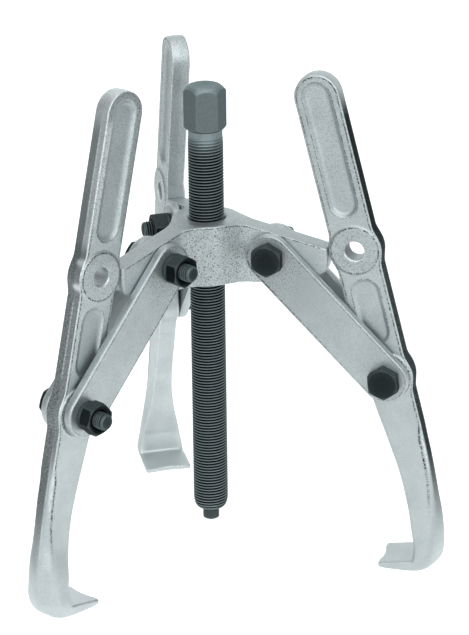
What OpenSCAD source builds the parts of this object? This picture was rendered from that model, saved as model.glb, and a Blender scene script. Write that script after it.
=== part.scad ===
// Three-arm gear puller with swinging legs.
// A forged yoke carries a forcing spindle on its axis and three arms around it.
// Each arm holds a pair of straps on a bolt, and each pair of straps holds a
// hooked leg on a second bolt. The upper end of a leg leans on the arm's nose.
// The spindle axis is Z, and the origin is at the lower end of the thrust pin's
// cylinder. Arm 1 points along +X, arms 2 and 3 follow at 120 and 240 degrees.

/* [Yoke] */
// Radius from the spindle axis to the yoke bolts
pivot_r = 40.5; // [38:0.5:44]
// Height of the yoke bolts above the thrust pin
pivot_z = 175.9; // [165:0.1:190]
// Radius of the yoke's hub
hub_r = 20.5; // [19.5:0.5:22]
// Height of the hub above the yoke bolts
hub_top = 19; // [17:0.5:22]
// Depth of the hub below the yoke bolts
hub_low = 18; // [16:0.5:20]
// Thickness of an arm between its straps
arm_t = 13; // [12:0.5:13]
// Reach of an arm's nose past its bolt
nose_r = 34.6; // [33:0.1:34.7]
// Radius of the fillet between hub and arm
arm_fillet = 9; // [6:0.5:10]

/* [Straps] */
// Distance between a strap's two holes
strap_l = 100; // [98:1:104]
// Width of a strap
strap_w = 28; // [24:0.5:28]
// Thickness of a strap
strap_t = 5.8; // [5:0.1:6]
// Slope of the straps below the horizontal
strap_angle = 45.5; // [43:0.1:49]

/* [Legs] */
// Distance between a leg's two holes
leg_l = 80; // [80:0.5:82]
// Angle between a leg and its straps, with the leg against the arm's nose
lean_angle = 30.4; // [30.2:0.1:34]
// Height of a leg above its bolt
leg_up = 188; // [170:1:192]
// Width of a leg's upper blade
blade_w = 27.4; // [24:0.2:28]
// Thickness of a leg's blade
blade_t = 11; // [9:0.5:12]
// Radius of a leg's two bosses
boss_r = 16; // [14:0.5:16]
// Thickness of a leg's two bosses
boss_t = 13; // [12:0.5:13]
// Diameter of a leg's free upper hole
free_hole_d = 11.5; // [10:0.1:12]
// Depth of the pockets in a blade's sides
pocket_d = 2; // [1:0.1:3]
// Half the width of the hook
hook_h = 14.5; // [13:0.5:16]

/* [Spindle] */
// Outside diameter of the spindle's thread
thread_d = 20.955; // [19:0.005:21]
// Width of the hexagon across its flats
head_af = 22; // [20:0.5:24]
// Height of the hexagon
head_h = 27.3; // [24:0.1:30]
// Height of the top of the hexagon above the thrust pin
head_top = 276.2; // [270:0.1:284]
// Turn of the hexagon about the spindle axis
head_turn = 21; // [0:1:60]

/* [Thrust pin] */
// Diameter of the thrust pin
pin_d = 9.8; // [9:0.1:11]
// Length of the pin below the spindle
pin_h = 7; // [5:0.1:9]
// Height of the pin's point
pin_point = 2.5; // [2:0.1:4]

/* [Fasteners] */
// Diameter of the bolts
bolt_d = 10; // [9:0.5:10]
// Width of bolt heads and nuts across their flats
hex_af = 17.5; // [16:0.5:18]
// Height of a bolt head
bolt_head_h = 6.6; // [5:0.1:8]
// Height of a nut
nut_h = 8.4; // [6:0.1:9]
// Outside diameter of the lock washers
washer_d = 17.6; // [15:0.1:18.4]
// Thickness of the lock washers
washer_t = 2.5; // [1.5:0.1:3]
// Length of bolt past its nut
bolt_free = 5.8; // [3:0.1:7]

/* [Fits] */
// Radial clearance of bolts and spindle in their holes
run_c = 0.05; // [0.02:0.01:0.1]
// Side gap between parts that turn on each other
side_c = 0.3; // [0.2:0.05:0.3]

/* [Hidden] */
$fn = 64;

forged = "#c3c9c8";
blackened = "#2b3233";
spindle_grey = "#4a5050";

// Lateral stack from the middle of an arm outward
strap_in = arm_t/2 + side_c;
strap_out = strap_in + strap_t;
// The yoke bolts clear the straps that swing on them, the leg bolts clamp them
stack_yoke = strap_out + side_c;
stack_leg = strap_out;
// Outer pivot of an arm, from the spindle axis and from the yoke bolt's height
out_r = pivot_r + strap_l*cos(strap_angle);
out_z = -strap_l*sin(strap_angle);
// Lean of a leg from the upright, its upper end inward
leg_angle = 90 - strap_angle - lean_angle;
// How far each bolt head and nut is turned, yoke bolts and then leg bolts
yoke_head_turn = [30, 12, 48];
yoke_nut_turn = [8, 20, 45];
leg_head_turn = [25, 40, 5];
leg_nut_turn = [50, 33, 10];

// Catmull-Rom point between p1 and p2, and a smooth run through a list of points
function cr(p0, p1, p2, p3, t) = 0.5*(2*p1 + (p2 - p0)*t
  + (2*p0 - 5*p1 + 4*p2 - p3)*t*t + (3*p1 - p0 - 3*p2 + p3)*t*t*t);
function smooth(P, n) = [for (i = [0:len(P) - 2]) for (j = [0:n - 1])
  cr(P[max(i - 1, 0)], P[i], P[i + 1], P[min(i + 2, len(P) - 1)], j/n),
  P[len(P) - 1]];
function arc(c, r, a0, a1, n) = [for (i = [0:n])
  c + r*[cos(a0 + (a1 - a0)*i/n), sin(a0 + (a1 - a0)*i/n)]];

// Places its children on arm i, in the arm's own frame: X outward, Z up
module arm(i) { rotate(120*(i - 1)) children(); }
// Origin at the yoke bolt or at the leg bolt, straight
module at_yoke_bolt(i) { arm(i) translate([pivot_r, 0, pivot_z]) children(); }
module at_leg_bolt(i) { arm(i) translate([out_r, 0, pivot_z + out_z]) children(); }
// X along the strap, from the yoke bolt
module at_strap(i) { at_yoke_bolt(i) rotate([0, strap_angle, 0]) children(); }
// X outward, Z up along the leg, from the leg bolt
module at_leg(i) { at_leg_bolt(i) rotate([0, -leg_angle, 0]) children(); }
// An outline in X and Z, made t thick about the arm's middle plane
module plate(t) { rotate([90, 0, 0]) linear_extrude(t, center = true) children(); }
// A cylinder along Y, from y0 to y1
module cross_cyl(d, y0, y1) {
  translate([0, y1, 0]) rotate([90, 0, 0]) cylinder(d = d, h = y1 - y0);
}

// ---- Yoke ----
// The arm's shape from the side, as distance from the axis and height
function yoke_side() = let (b = [pivot_r, 0], tip = nose_r) concat(
  [[0, hub_top], [18.5, hub_top], [21, hub_top - 0.5], [24.5, 18]],
  arc(b, tip, 10.5, -8.5, 8),
  arc([pivot_r + tip - 5.5, -5.6], 4.9, -15, -105, 6),
  [[pivot_r - 2, -17.2], [pivot_r - 8, -hub_low], [0, -hub_low]]);

module yoke_plan() {
  c_t = arm_t/2 + arm_fillet;
  c_r = sqrt(pow(hub_r + arm_fillet, 2) - c_t*c_t);
  k = hub_r/(hub_r + arm_fillet);
  circle(hub_r);
  for (i = [0:2]) rotate(120*i) {
    translate([0, -arm_t/2]) square([pivot_r + nose_r + 5, arm_t]);
    // Fillets on both sides of the arm's root
    difference() {
      polygon([[0, 0], k*[c_r, -c_t] - [0, 0.03], [c_r + 0.01, -arm_t/2 - 0.02],
        [c_r + 0.01, arm_t/2 + 0.02], k*[c_r, c_t] + [0, 0.03]]);
      for (s = [-1, 1]) translate([c_r, s*c_t]) circle(arm_fillet - 0.02);
    }
  }
}

module yoke() color(forged) difference() {
  intersection() {
    translate([0, 0, pivot_z - hub_low - 5]) linear_extrude(hub_low + hub_top + 10) yoke_plan();
    translate([0, 0, pivot_z]) rotate_extrude($fn = 96) polygon(yoke_side());
  }
  // Spindle hole with a chamfered mouth at both ends
  translate([0, 0, pivot_z - hub_low - 1])
    cylinder(d = thread_d + 2*run_c, h = hub_low + hub_top + 2);
  translate([0, 0, pivot_z + hub_top - 1.4])
    cylinder(d1 = thread_d - 0.2, d2 = thread_d + 4, h = 2.1);
  translate([0, 0, pivot_z - hub_low - 0.7])
    cylinder(d1 = thread_d + 4, d2 = thread_d - 0.2, h = 2.1);
  for (i = [1:3]) at_yoke_bolt(i) cross_cyl(bolt_d + 2*run_c, -20, 20);
}

// ---- Spindle and thrust pin ----
module hex(af, h) { cylinder(d = af/cos(30), h = h, $fn = 6); }

module spindle() color(spindle_grey) {
  r = thread_d/2;
  z0 = pin_h + 0.2;
  zh = head_top - head_h;
  difference() {
    union() {
      rotate_extrude() polygon([[0, z0], [7.5, z0], [8.9, z0 + 1.1], [9.75, z0 + 2.8],
        [r - 0.2, z0 + 5], [r, z0 + 7], [r, zh], [0, zh]]);
      translate([0, 0, zh]) rotate(head_turn) intersection() {
        hex(head_af, head_h);
        rotate_extrude() polygon([[0, 0], [head_af/2 - 0.6, 0], [head_af/2 + 1.9, 1.6],
          [head_af/2 + 1.9, head_h - 4.4], [head_af/2, head_h - 2.3], [head_af/2 - 1.6, head_h - 0.9],
          [head_af/2 - 3.8, head_h - 0.15], [head_af/2 - 5.5, head_h], [0, head_h]]);
      }
    }
    // Blind hole for the pin's shank
    translate([0, 0, -1]) cylinder(d = 8 + 2*run_c, h = z0 + 1 + 14);
  }
}

module thrust_pin() color(spindle_grey) {
  cylinder(d = pin_d, h = pin_h);
  translate([0, 0, pin_h]) cylinder(d = 8, h = 13);
  translate([0, 0, -pin_point]) cylinder(d1 = 0.4, d2 = pin_d, h = pin_point);
}

// ---- Straps ----
module strap_outline() {
  circle(d = strap_w);
  translate([strap_l, 0]) circle(d = strap_w);
  translate([0, -strap_w/2]) square([strap_l, strap_w]);
}

// side is -1 on the bolt heads' side and 1 on the nuts' side
module strap(i, side) color(forged) at_strap(i)
  translate([0, side*(strap_in + strap_t/2), 0]) difference() {
    plate(strap_t) strap_outline();
    cross_cyl(bolt_d + 2*run_c, -10, 10);
    translate([strap_l, 0, 0]) cross_cyl(bolt_d + 2*run_c, -10, 10);
  }

// ---- Legs ----
// Outline of the whole leg from the side: X outward, Y up along the leg
function leg_back() = smooth([[blade_w/2, 0], [blade_w/2, -20], [13.6, -40], [13.1, -60],
  [12.4, -78], [11.6, -93], [10.6, -105], [8, -114.8], [3.2, -121.4], [-4, -124.7]], 4);
function leg_under() = smooth([[-4, -124.7], [-9.5, -124.8], [-15, -123.5], [-22.2, -120.6],
  [-31.4, -116.2]], 4);
function leg_front() = smooth([[-7.4, -103.4], [-6.6, -90], [-6.5, -76], [-7, -60],
  [-8.7, -42], [-10.9, -22], [-12.3, -8], [-blade_w/2, 8]], 4);

module leg_outline() {
  polygon(concat(leg_back(), leg_under(),
    [[-31.4, -113.65], [-10.6, -115.7]], leg_front(), [[-blade_w/2, 40], [blade_w/2, 40]]));
  translate([-blade_w/2, 0]) square([blade_w, leg_up - blade_w/2]);
  translate([0, leg_up - blade_w/2]) circle(d = blade_w);
}

// Half width of the leg from the front, against height along it
function leg_half() = smooth([[blade_t/2, -30], [blade_t/2, -46], [5.8, -60], [6.6, -72],
  [8.3, -84], [10.7, -95], [13, -106], [hook_h, -114], [hook_h - 0.3, -118.5], [hook_h - 2.2, -122.5],
  [hook_h - 5.5, -126.5]], 3);

module leg_flare() {
  H = leg_half();
  polygon(concat([[blade_t/2, leg_up + 10]], H,
    [for (i = [len(H) - 1:-1:0]) [-H[i][0], H[i][1]]], [[-blade_t/2, leg_up + 10]]));
}

module rounded_slot(x, y0, y1, r) {
  translate([-x, y0 + r]) square([2*x, y1 - y0 - 2*r]);
  translate([-x + r, y0]) square([2*x - 2*r, y1 - y0]);
  for (sx = [-1, 1], y = [y0 + r, y1 - r]) translate([sx*(x - r), y]) circle(r);
}

// A boss along Y with bevelled rims
module boss() {
  e = 1.2;
  rotate([90, 0, 0]) rotate_extrude() polygon([[0, -boss_t/2], [boss_r - e, -boss_t/2],
    [boss_r, e - boss_t/2], [boss_r, boss_t/2 - e], [boss_r - e, boss_t/2], [0, boss_t/2]]);
}

module leg(i) color(forged) at_leg(i) difference() {
  union() {
    intersection() {
      plate(2*hook_h + 4) leg_outline();
      // Front view: narrow blade that flares to the hook
      translate([-60, 0, 0]) rotate([90, 0, 90]) linear_extrude(120) leg_flare();
      // The back of the flare slopes off to both sides, and the back edges are eased
      translate([0, 0, -140]) linear_extrude(360) polygon([[-40, -20], [-40, 20], [0.5, 20],
        [0.5, hook_h], [10.3, 6.9], [14.5, 2.9], [14.5, -2.9], [10.3, -6.9], [0.5, -hook_h], [0.5, -20]]);
    }
    boss();
    translate([0, 0, leg_l]) boss();
  }
  cross_cyl(bolt_d + 2*run_c, -20, 20);
  translate([0, 0, leg_l]) cross_cyl(free_hole_d, -20, 20);
  // Long pocket in the upper blade and short pocket between the bosses, on both sides
  for (s = [-1, 1]) translate([0, s*(blade_t/2 - pocket_d/2 + 0.5), 0]) plate(pocket_d + 1) {
    rounded_slot(8.3, leg_l + 20.5, leg_up - 5.4, 8.3 - 0.01);
    rounded_slot(8.3, 20.5, leg_l - 18.5, 6);
  }
  // Hollowed tip of the hook
  translate([-58.5, 0, -125]) cylinder(r = 28.6, h = 20, $fn = 96);
}

// ---- Fasteners, along Y with the head at -Y ----
module bolt(stack, turn) color(blackened) {
  y_head = -stack - bolt_head_h;
  y_end = stack + washer_t + nut_h + bolt_free;
  rotate([-90, 0, 0]) {
    translate([0, 0, y_head]) intersection() {
      rotate(turn) hex(hex_af, bolt_head_h);
      rotate_extrude() polygon([[0, 0], [hex_af/2 - 0.4, 0], [hex_af/2 + 1.4, 1.1],
        [hex_af/2 + 1.4, bolt_head_h], [0, bolt_head_h]]);
    }
    rotate_extrude() polygon([[0, -stack - 2], [bolt_d/2, -stack - 2],
      [bolt_d/2, y_end - 1], [bolt_d/2 - 1, y_end], [0, y_end]]);
  }
}

module nut(stack, turn) color(blackened) rotate([-90, 0, 0])
  translate([0, 0, stack + washer_t]) difference() {
    intersection() {
      rotate(turn) hex(hex_af, nut_h);
      rotate_extrude() polygon([[0, 0], [hex_af/2 - 0.2, 0], [hex_af/2 + 1.4, 0.9],
        [hex_af/2 + 1.4, nut_h - 0.9], [hex_af/2 - 0.2, nut_h], [0, nut_h]]);
    }
    translate([0, 0, -1]) cylinder(d = bolt_d + 2*run_c, h = nut_h + 2);
  }

// Split ring, with its cut turned to the side away from the leg
module washer(stack) color(blackened) rotate([-90, 0, 0])
  translate([0, 0, stack]) difference() {
    cylinder(d = washer_d, h = washer_t);
    translate([0, 0, -1]) cylinder(d = bolt_d + 2*run_c, h = washer_t + 2);
    translate([-10, -0.7, -1]) cube([10, 1.4, washer_t + 2]);
  }

yoke();
spindle();
thrust_pin();
strap(1, -1);  // strap_1_head_side
strap(1, 1);  // strap_1_nut_side
strap(2, -1);  // strap_2_head_side
strap(2, 1);  // strap_2_nut_side
strap(3, -1);  // strap_3_head_side
strap(3, 1);  // strap_3_nut_side
leg(1);  // leg_1
leg(2);  // leg_2
leg(3);  // leg_3
at_yoke_bolt(1) bolt(stack_yoke, yoke_head_turn[0]);  // yoke_bolt_1
at_yoke_bolt(2) bolt(stack_yoke, yoke_head_turn[1]);  // yoke_bolt_2
at_yoke_bolt(3) bolt(stack_yoke, yoke_head_turn[2]);  // yoke_bolt_3
at_yoke_bolt(1) nut(stack_yoke, yoke_nut_turn[0]);  // yoke_nut_1
at_yoke_bolt(2) nut(stack_yoke, yoke_nut_turn[1]);  // yoke_nut_2
at_yoke_bolt(3) nut(stack_yoke, yoke_nut_turn[2]);  // yoke_nut_3
at_yoke_bolt(1) washer(stack_yoke);  // yoke_washer_1
at_yoke_bolt(2) washer(stack_yoke);  // yoke_washer_2
at_yoke_bolt(3) washer(stack_yoke);  // yoke_washer_3
at_leg_bolt(1) bolt(stack_leg, leg_head_turn[0]);  // leg_bolt_1
at_leg_bolt(2) bolt(stack_leg, leg_head_turn[1]);  // leg_bolt_2
at_leg_bolt(3) bolt(stack_leg, leg_head_turn[2]);  // leg_bolt_3
at_leg_bolt(1) nut(stack_leg, leg_nut_turn[0]);  // leg_nut_1
at_leg_bolt(2) nut(stack_leg, leg_nut_turn[1]);  // leg_nut_2
at_leg_bolt(3) nut(stack_leg, leg_nut_turn[2]);  // leg_nut_3
at_leg_bolt(1) washer(stack_leg);  // leg_washer_1
at_leg_bolt(2) washer(stack_leg);  // leg_washer_2
at_leg_bolt(3) washer(stack_leg);  // leg_washer_3
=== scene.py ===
"""Looks of the three-arm gear puller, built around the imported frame.

Shapes are worked out in millimetres: forgings and straps as rounded solids that are
skinned on a grid, turned and threaded pieces as rings around their axis.
"""

import math

import bmesh
import bpy
import numpy as np
from mathutils import Matrix, Vector


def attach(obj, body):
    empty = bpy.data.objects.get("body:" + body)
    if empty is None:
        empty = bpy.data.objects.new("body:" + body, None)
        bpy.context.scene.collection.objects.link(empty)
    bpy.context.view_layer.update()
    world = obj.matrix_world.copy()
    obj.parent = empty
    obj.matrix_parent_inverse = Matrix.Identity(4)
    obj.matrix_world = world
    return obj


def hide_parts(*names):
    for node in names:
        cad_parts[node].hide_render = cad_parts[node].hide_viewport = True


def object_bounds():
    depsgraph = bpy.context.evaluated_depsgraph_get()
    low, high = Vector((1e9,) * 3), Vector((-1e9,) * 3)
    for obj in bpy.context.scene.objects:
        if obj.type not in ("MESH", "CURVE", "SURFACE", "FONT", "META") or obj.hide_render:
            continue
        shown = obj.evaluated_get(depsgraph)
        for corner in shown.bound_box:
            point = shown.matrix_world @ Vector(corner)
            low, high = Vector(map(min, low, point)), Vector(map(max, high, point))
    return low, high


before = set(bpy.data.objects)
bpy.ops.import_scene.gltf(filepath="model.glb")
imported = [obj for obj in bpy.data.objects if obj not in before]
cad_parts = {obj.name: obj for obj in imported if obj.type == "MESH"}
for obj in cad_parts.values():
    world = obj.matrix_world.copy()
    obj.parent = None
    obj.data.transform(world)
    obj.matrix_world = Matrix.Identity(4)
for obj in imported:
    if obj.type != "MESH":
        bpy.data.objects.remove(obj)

cad_lo, cad_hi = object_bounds()
MM = 0.001
STEP = 1.0

# Sizes shared with the frame, in millimetres and degrees
PIVOT_R, PIVOT_Z = 40.5, 175.9
HUB_R, HUB_TOP, HUB_LOW = 20.5, 19.0, 18.0
ARM_H, NOSE_R = 6.5, 34.6
STRAP_L, STRAP_R, STRAP_T, STRAP_A = 100.0, 14.0, 5.8, 45.5
STRAP_MID = 6.8 + STRAP_T / 2
LEG_A = 14.1
LEG_L, LEG_UP, BLADE, BOSS = 80.0, 188.0, 13.7, 15.95
STACK_YOKE, STACK_LEG = 12.9, 12.6
HEX_AF, HEAD_H, NUT_H, WASH_T, WASH_R, FREE = 17.5, 6.6, 8.4, 2.5, 8.8, 5.8
OUT_R = PIVOT_R + STRAP_L * math.cos(math.radians(STRAP_A))
OUT_Z = PIVOT_Z - STRAP_L * math.sin(math.radians(STRAP_A))


# ---------------------------------------------------------------- solids
def rmax(a, b, r):
    """What two solids share, its edge rounded to radius r."""
    return np.minimum(-r, np.maximum(a, b)) + np.hypot(
        np.maximum(a + r, 0), np.maximum(b + r, 0)
    )


def rmin(a, b, r):
    """Two solids together, the corner between them filled to radius r."""
    return np.maximum(r, np.minimum(a, b)) - np.hypot(
        np.maximum(r - a, 0), np.maximum(r - b, 0)
    )


def ease(a, b, x):
    t = np.clip((x - a) / (b - a), 0, 1)
    return t * t * (3 - 2 * t)


def smooth(points, n):
    """A smooth run through points, n steps between each two."""
    p = [np.array(q, float) for q in points]
    run = []
    for i in range(len(p) - 1):
        p0, p1, p2, p3 = p[max(i - 1, 0)], p[i], p[i + 1], p[min(i + 2, len(p) - 1)]
        for j in range(n):
            t = j / n
            run.append(
                0.5
                * (
                    2 * p1
                    + (p2 - p0) * t
                    + (2 * p0 - 5 * p1 + 4 * p2 - p3) * t * t
                    + (3 * p1 - p0 - 3 * p2 + p3) * t**3
                )
            )
    return run + [p[-1]]


def outline_distance(points, x, z):
    """Distance from a closed outline, negative inside it."""
    x, z = np.broadcast_arrays(x, z)
    d2 = np.full(x.shape, 1e12)
    inside = np.zeros(x.shape, bool)
    n = len(points)
    for i in range(n):
        (ax, az), (bx, bz) = points[i], points[(i + 1) % n]
        ex, ez = bx - ax, bz - az
        wx, wz = x - ax, z - az
        t = np.clip((wx * ex + wz * ez) / (ex * ex + ez * ez + 1e-12), 0, 1)
        d2 = np.minimum(d2, (wx - ex * t) ** 2 + (wz - ez * t) ** 2)
        if az != bz:
            inside ^= ((az > z) != (bz > z)) & (wx < ex * wz / ez)
    return np.where(inside, -1.0, 1.0) * np.sqrt(d2)


def skin(f, X, Y, Z):
    """Vertices and quads of the surface where f changes sign, from a grid of cells."""
    v = np.array(
        np.broadcast_to(
            f(X[:, None, None], Y[None, :, None], Z[None, None, :]),
            (len(X), len(Y), len(Z)),
        ),
        np.float32,
    )
    s = v < 0
    count = np.zeros([len(X) - 1, len(Y) - 1, len(Z) - 1], np.int8)
    corners = [(i, j, k) for i in (0, 1) for j in (0, 1) for k in (0, 1)]
    for i, j, k in corners:
        count += s[
            i : len(X) - 1 + i, j : len(Y) - 1 + j, k : len(Z) - 1 + k
        ].astype(np.int8)
    cells = np.nonzero((count > 0) & (count < 8))
    index = np.full(count.shape, -1, np.int64)
    index[cells] = np.arange(len(cells[0]))
    axes = (X, Y, Z)
    total, num = np.zeros((len(cells[0]), 3)), np.zeros(len(cells[0]))
    for a in corners:
        for d in range(3):
            if a[d]:
                continue
            at = [cells[m] + a[m] for m in range(3)]
            to = list(at)
            to[d] = at[d] + 1
            va, vb = v[tuple(at)].astype(float), v[tuple(to)].astype(float)
            cross = (va < 0) != (vb < 0)
            t = np.where(cross, va / np.where(cross, va - vb, 1), 0)
            p = np.stack([axes[m][at[m]] for m in range(3)], 1)
            p[:, d] += t * (axes[d][to[d]] - p[:, d])
            total += p * cross[:, None]
            num += cross
    quads = []
    for d in range(3):
        o1, o2 = (d + 1) % 3, (d + 2) % 3
        low, high = [slice(1, -1)] * 3, [slice(1, -1)] * 3
        low[d], high[d] = slice(0, -1), slice(1, None)
        a, b = s[tuple(low)], s[tuple(high)]
        change = a != b
        g = list(np.nonzero(change))
        g[o1], g[o2] = g[o1] + 1, g[o2] + 1

        def cell(u, w):
            h = [None] * 3
            h[d], h[o1], h[o2] = g[d], g[o1] - 1 + u, g[o2] - 1 + w
            return index[tuple(h)]

        q = np.stack([cell(0, 0), cell(1, 0), cell(1, 1), cell(0, 1)], 1)
        flip = ~a[change]
        q[flip] = q[flip][:, ::-1]
        quads.append(q)
    return total / num[:, None], np.concatenate(quads)


def settle(f, V, steps):
    """V moved onto the surface of f, with the surface's normals."""
    e = 0.03
    tetra = np.array([[1, -1, -1], [-1, -1, 1], [-1, 1, -1], [1, 1, 1]], float) * e
    normal = None
    for step in range(steps + 1):
        g, value = np.zeros_like(V), np.zeros(len(V))
        for d in tetra:
            fv = f(V[:, 0] + d[0], V[:, 1] + d[1], V[:, 2] + d[2])
            g += d * fv[:, None]
            value += fv / 4
        g /= 4 * e * e
        size2 = np.maximum((g * g).sum(1), 0.05)
        normal = g / np.sqrt(size2)[:, None]
        if step < steps:
            V = V - (np.clip(value, -0.6, 0.6) / size2)[:, None] * g
    return V, normal


def forged(f, X, Y, Z, rounds=2):
    """The skin of f, its vertices evened out and lying on the surface."""
    V, Q = skin(f, X, Y, Z)
    V, N = settle(f, V, 3)
    for _ in range(rounds):
        around, num = np.zeros_like(V), np.zeros(len(V))
        for i in range(4):
            a, b = Q[:, i], Q[:, (i + 1) % 4]
            for s, t in ((a, b), (b, a)):
                num += np.bincount(s, minlength=len(V))
                for k in range(3):
                    around[:, k] += np.bincount(s, V[t, k], len(V))
        D = around / num[:, None] - V
        D -= (D * N).sum(1)[:, None] * N
        V, N = settle(f, V + 0.5 * D, 1)
    return V, Q, N


def grade(*runs):
    """Grid lines: runs of (from, to, spacing), one after the other."""
    lines = []
    for a, b, h in runs:
        n = max(1, int(round((b - a) / (h * STEP))))
        lines += list(a + (b - a) * np.arange(n) / n)
    return np.array(lines + [runs[-1][1]])


# ---- yoke: plan and side view, both rounded together
YOKE_SIDE = (
    [(0, HUB_TOP), (18.5, HUB_TOP), (21, HUB_TOP - 0.5), (24.5, 18)]
    + [
        (
            PIVOT_R + NOSE_R * math.cos(math.radians(a)),
            NOSE_R * math.sin(math.radians(a)),
        )
        for a in np.linspace(10.5, -8.5, 12)
    ]
    + [
        (
            PIVOT_R + NOSE_R - 5.5 + 4.85 * math.cos(math.radians(a)),
            -5.6 + 4.85 * math.sin(math.radians(a)),
        )
        for a in np.linspace(-15, -105, 10)
    ]
    + [(PIVOT_R - 2, -17.2), (PIVOT_R - 8, -HUB_LOW), (0, -HUB_LOW)]
)


def yoke_plan(x, y):
    arms = None
    for k in range(3):
        a = math.radians(120 * k)
        u, t = (
            x * math.cos(a) + y * math.sin(a),
            np.abs(y * math.cos(a) - x * math.sin(a)),
        )
        one = np.maximum(t - ARM_H, -u)
        arms = one if arms is None else np.minimum(arms, one)
    return rmin(np.hypot(x, y) - HUB_R, arms, 9.0)


def yoke_shape(x, y, z):
    rho = np.hypot(x, y)
    side = outline_distance(YOKE_SIDE, rho, z)
    d = rmax(yoke_plan(x, y), side, 0.5 + 0.9 * ease(66, 73, rho))
    d = np.maximum(d, 10.53 - rho)
    d = rmax(d, (12.1 - rho - (HUB_TOP - z)) * 0.7071, 0.25)
    d = rmax(d, (12.1 - rho - (HUB_LOW + z)) * 0.7071, 0.25)
    for k in range(3):
        a = math.radians(120 * k)
        u = x * math.cos(a) + y * math.sin(a)
        d = rmax(d, 5.05 - np.hypot(u - PIVOT_R, z), 0.35)
    return d


# ---- straps
def strap_flat(x, z):
    return np.hypot(np.maximum(np.abs(x - STRAP_L / 2) - STRAP_L / 2, 0), z) - STRAP_R


def strap_shape(x, y, z):
    ay = np.abs(y)
    edge = strap_flat(x, z) + 0.16 * np.clip(ay - 0.8, 0, 2.1)
    d = rmax(edge, ay - STRAP_T / 2, 1.05)
    for c in (0, STRAP_L):
        d = rmax(d, 5.05 - np.hypot(x - c, z), 0.4)
    return d


# ---- legs
LEG_BACK = [
    [BLADE, 0], [BLADE, -20], [13.6, -40], [13.1, -60], [12.4, -78], [11.6, -93],
    [10.6, -105], [8, -114.8], [3.2, -121.4], [-4, -124.7],
]
LEG_UNDER = [
    [-4, -124.7], [-9.5, -124.8], [-15, -123.5], [-22.2, -120.6], [-31.4, -116.2],
]
LEG_FRONT = [
    [-7.4, -103.4], [-6.6, -90], [-6.5, -76], [-7, -60], [-8.7, -42], [-10.9, -22],
    [-12.3, -8], [-BLADE, 8],
]
LEG_HALF = [
    [5.5, -30], [5.5, -46], [5.8, -60], [6.6, -72], [8.3, -84], [10.7, -95], [13, -106],
    [14.5, -114], [14.2, -118.5], [12.3, -122.5], [9, -126.5],
]
LEG_LOW = (
    smooth(LEG_BACK, 7)
    + smooth(LEG_UNDER, 7)[1:]
    + [(-31.4, -113.65), (-12.1, -115.55), (-10.9, -115.4), (-10.3, -114.7), (-9.9, -113.5)]
    + smooth(LEG_FRONT, 6)
    + [(-BLADE, 45), (BLADE, 45)]
)
_half = np.array(smooth(LEG_HALF, 6))[::-1]


def leg_outline(x, z):
    upper = np.hypot(x, np.maximum(z - (LEG_UP - BLADE), 0)) - BLADE
    if np.ndim(z) == 1:
        low = z < 18
        d = np.array(upper, float)
        d[low] = outline_distance(LEG_LOW, x[low], z[low])
        return d
    return np.where(z < 18, outline_distance(LEG_LOW, x, z), upper)


def leg_back(x, ay, z):
    """Outline with bosses, drafted sides and the sloping back of the hook."""
    o = leg_outline(x, z)
    o = o + 0.07 * np.clip(ay - 0.3, 0, 5.2) * ease(-80, -55, z) * (1 - (1 - ease(-4, 4, x)) * ease(0, -20, z))
    o = rmin(o, np.hypot(x, z) - BOSS, 2.1)
    o = rmin(o, np.hypot(x, z - LEG_L) - BOSS, 2.1)
    slope = 0.613 * (x - 0.5) + 0.79 * (ay - 14.5) - 4.0 * ease(-45, -15, z)
    return rmax(o, slope, 0.8 + 4.2 * ease(-50, -85, z) + 6.0 * ease(-88, -112, z))


POCKETS = ((LEG_L + 20.5, LEG_UP - 5.4, 2.0), (20.5, LEG_L - 18.5, 1.5))


def slot(x, z, z0, z1, r):
    qx = np.abs(x) - 8.3 + r
    qz = np.abs(z - (z0 + z1) / 2) - (z1 - z0) / 2 + r
    return (
        np.hypot(np.maximum(qx, 0), np.maximum(qz, 0))
        + np.minimum(np.maximum(qx, qz), 0)
        - r
    )


def leg_shape(x, y, z):
    ay = np.abs(y)
    half = np.interp(z, _half[:, 1], _half[:, 0])
    corner = np.interp(z, [-125, -120.5, -117.5, -108, -95, -60], [3.0, 2.6, 0.6, 0.6, 0.7, 0.7])
    corner = corner + ease(-9, 3, x) * np.interp(z, [-124, -119, -112, -92, -55], [2.5, 2.4, 3.0, 2.2, 0.0])
    d = rmax(leg_back(x, ay, z), (ay - half) * 0.97, corner)
    for c in (0, LEG_L):
        disc = np.hypot(x, z - c)
        rim = rmax(disc - BOSS + 0.85, (disc + ay - BOSS - 5.0) * 0.7071, 0.6)
        d = rmin(d, rmax(rim, ay - 6.5, 0.7), 0.8)
    for z0, z1, deep in POCKETS:
        wall = (slot(x, z, z0, z1, 8.29) + (5.5 - ay) * 0.95) * 0.725
        d = rmax(d, -rmax(wall, 5.5 - deep - ay, 0.9), 0.35)
    d = rmax(d, 5.05 - np.hypot(x, z), 0.3)
    d = rmax(d, 5.75 - np.hypot(x, z - LEG_L), 0.7)
    return rmax(d, 28.6 - np.hypot(x + 58.5, y), 0.5)


# ---------------------------------------------------------------- places
def turn_z(V, degrees):
    a = math.radians(degrees)
    c, s = math.cos(a), math.sin(a)
    return np.stack([V[:, 0] * c - V[:, 1] * s, V[:, 0] * s + V[:, 1] * c, V[:, 2]], 1)


def turn_y(V, degrees):
    a = math.radians(degrees)
    c, s = math.cos(a), math.sin(a)
    return np.stack([V[:, 0] * c + V[:, 2] * s, V[:, 1], -V[:, 0] * s + V[:, 2] * c], 1)


def at_leg(V, i):
    return turn_z(turn_y(V, -LEG_A) + [OUT_R, 0, OUT_Z], 120 * (i - 1))


def at_strap(V, i, side):
    return turn_z(
        turn_y(V + [0, side * STRAP_MID, 0], STRAP_A) + [PIVOT_R, 0, PIVOT_Z],
        120 * (i - 1),
    )


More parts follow.
